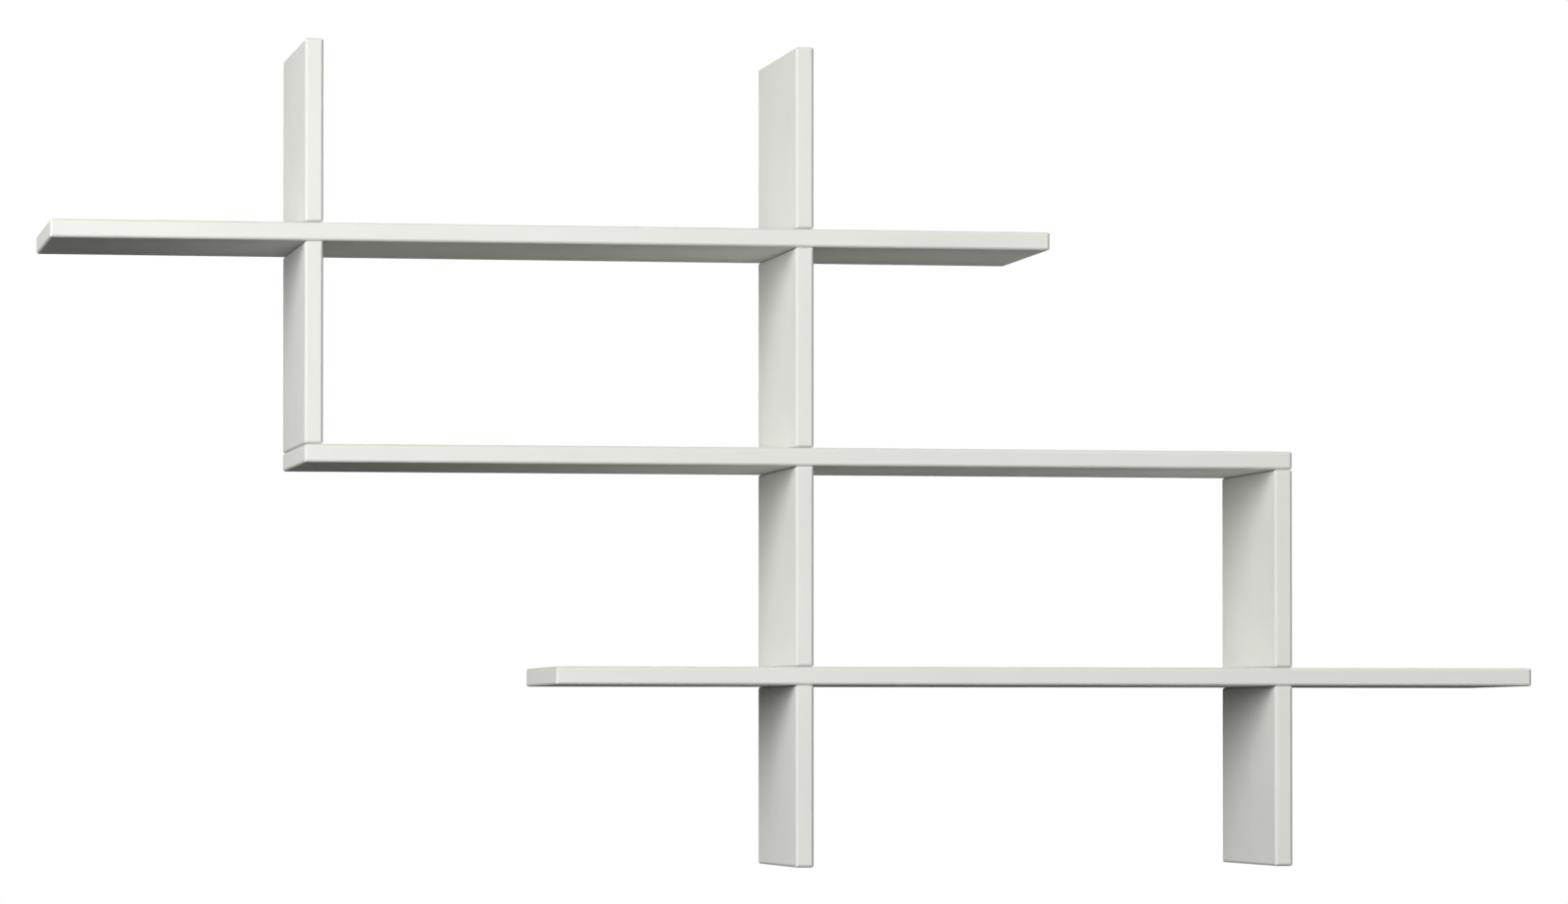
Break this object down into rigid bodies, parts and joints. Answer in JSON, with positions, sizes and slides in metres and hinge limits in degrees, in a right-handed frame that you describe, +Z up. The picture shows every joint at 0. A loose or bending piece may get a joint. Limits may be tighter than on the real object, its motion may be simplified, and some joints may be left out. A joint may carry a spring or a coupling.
{
  "type": "wall shelf",
  "caption": "White lattice wall shelf: staggered shelves crossed by short uprights, held by hidden cams and dowels and hung on angle brackets.",
  "frame": {"origin": "in the wall plane, at the middle of the middle shelf's rear edge, which is also the middle of the whole shelf", "axes": "+X to the right as seen from the room, +Y into the wall, +Z up"},
  "size_m": [1.47, 0.22, 0.802],
  "materials": {
    "white_melamine": "particleboard faced with white melamine, satin, smooth",
    "white_edging": "white ABS edging, 3 mm, rounded over and buffed",
    "zinc_cam": null,
    "zinc_plated_steel": "zinc-plated steel, bright",
    "white_plastic": "white moulded plastic",
    "beech": "turned beech, bare"
  },
  "bodies": {
    "root": {"top_shelf": "white_melamine", "middle_shelf": "white_melamine", "bottom_shelf": "white_melamine", "left_top_upright": "white_melamine", "left_upper_upright": "white_melamine", "middle_top_upright": "white_melamine", "middle_upper_upright": "white_melamine", "middle_lower_upright": "white_melamine", "middle_bottom_upright": "white_melamine", "right_lower_upright": "white_melamine", "right_bottom_upright": "white_melamine", "top_shelf_edging": "white_edging", "middle_shelf_edging": "white_edging", "bottom_shelf_edging": "white_edging", "left_top_edging": "white_edging", "left_upper_edging": "white_edging", "middle_top_edging": "white_edging", "middle_upper_edging": "white_edging", "middle_lower_edging": "white_edging", "middle_bottom_edging": "white_edging", "right_lower_edging": "white_edging", "right_bottom_edging": "white_edging", "cam_locks": "zinc_cam", "cam_covers": "white_plastic", "through_bolts": "zinc_plated_steel", "corner_bolts": "zinc_plated_steel", "through_dowels": "beech", "corner_dowels": "beech", "wall_brackets": "zinc_plated_steel", "bracket_screws": "zinc_plated_steel"}
  },
  "joints": []
}
